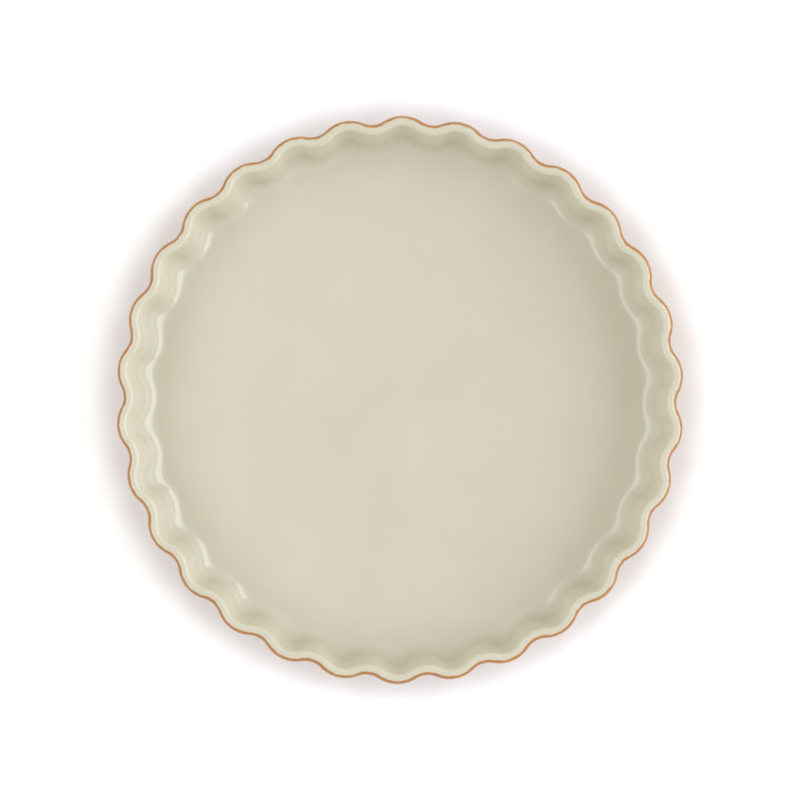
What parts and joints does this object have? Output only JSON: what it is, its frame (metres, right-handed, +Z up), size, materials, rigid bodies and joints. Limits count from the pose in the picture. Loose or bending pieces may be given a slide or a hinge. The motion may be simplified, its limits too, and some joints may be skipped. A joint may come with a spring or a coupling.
{
  "type": "fluted pie dish",
  "caption": "Round shallow glazed stoneware pie dish with a fluted upright wall, flat floor, rounded rim and bare foot ring.",
  "frame": {"origin": "centre of the plane that the foot ring stands on", "axes": "+Z up through the dish's mouth; +X through the middle of one flute's crest, with another crest on -X"},
  "size_m": [0.284, 0.2826, 0.038],
  "materials": {
    "stoneware_body": "bare fired stoneware, matt, fine grain, seen only on the foot ring",
    "interior_glaze": "glossy warm greige glaze over floor, inner wall and rim top",
    "exterior_glaze": "glossy caramel glaze on the outer wall, seen as a thin line round the rim",
    "base_glaze": "thin caramel glaze on the underside within the foot ring"
  },
  "bodies": {
    "root": {"stoneware_body": "stoneware_body", "interior_glaze": "interior_glaze", "exterior_glaze": "exterior_glaze", "base_glaze": "base_glaze"}
  },
  "joints": []
}
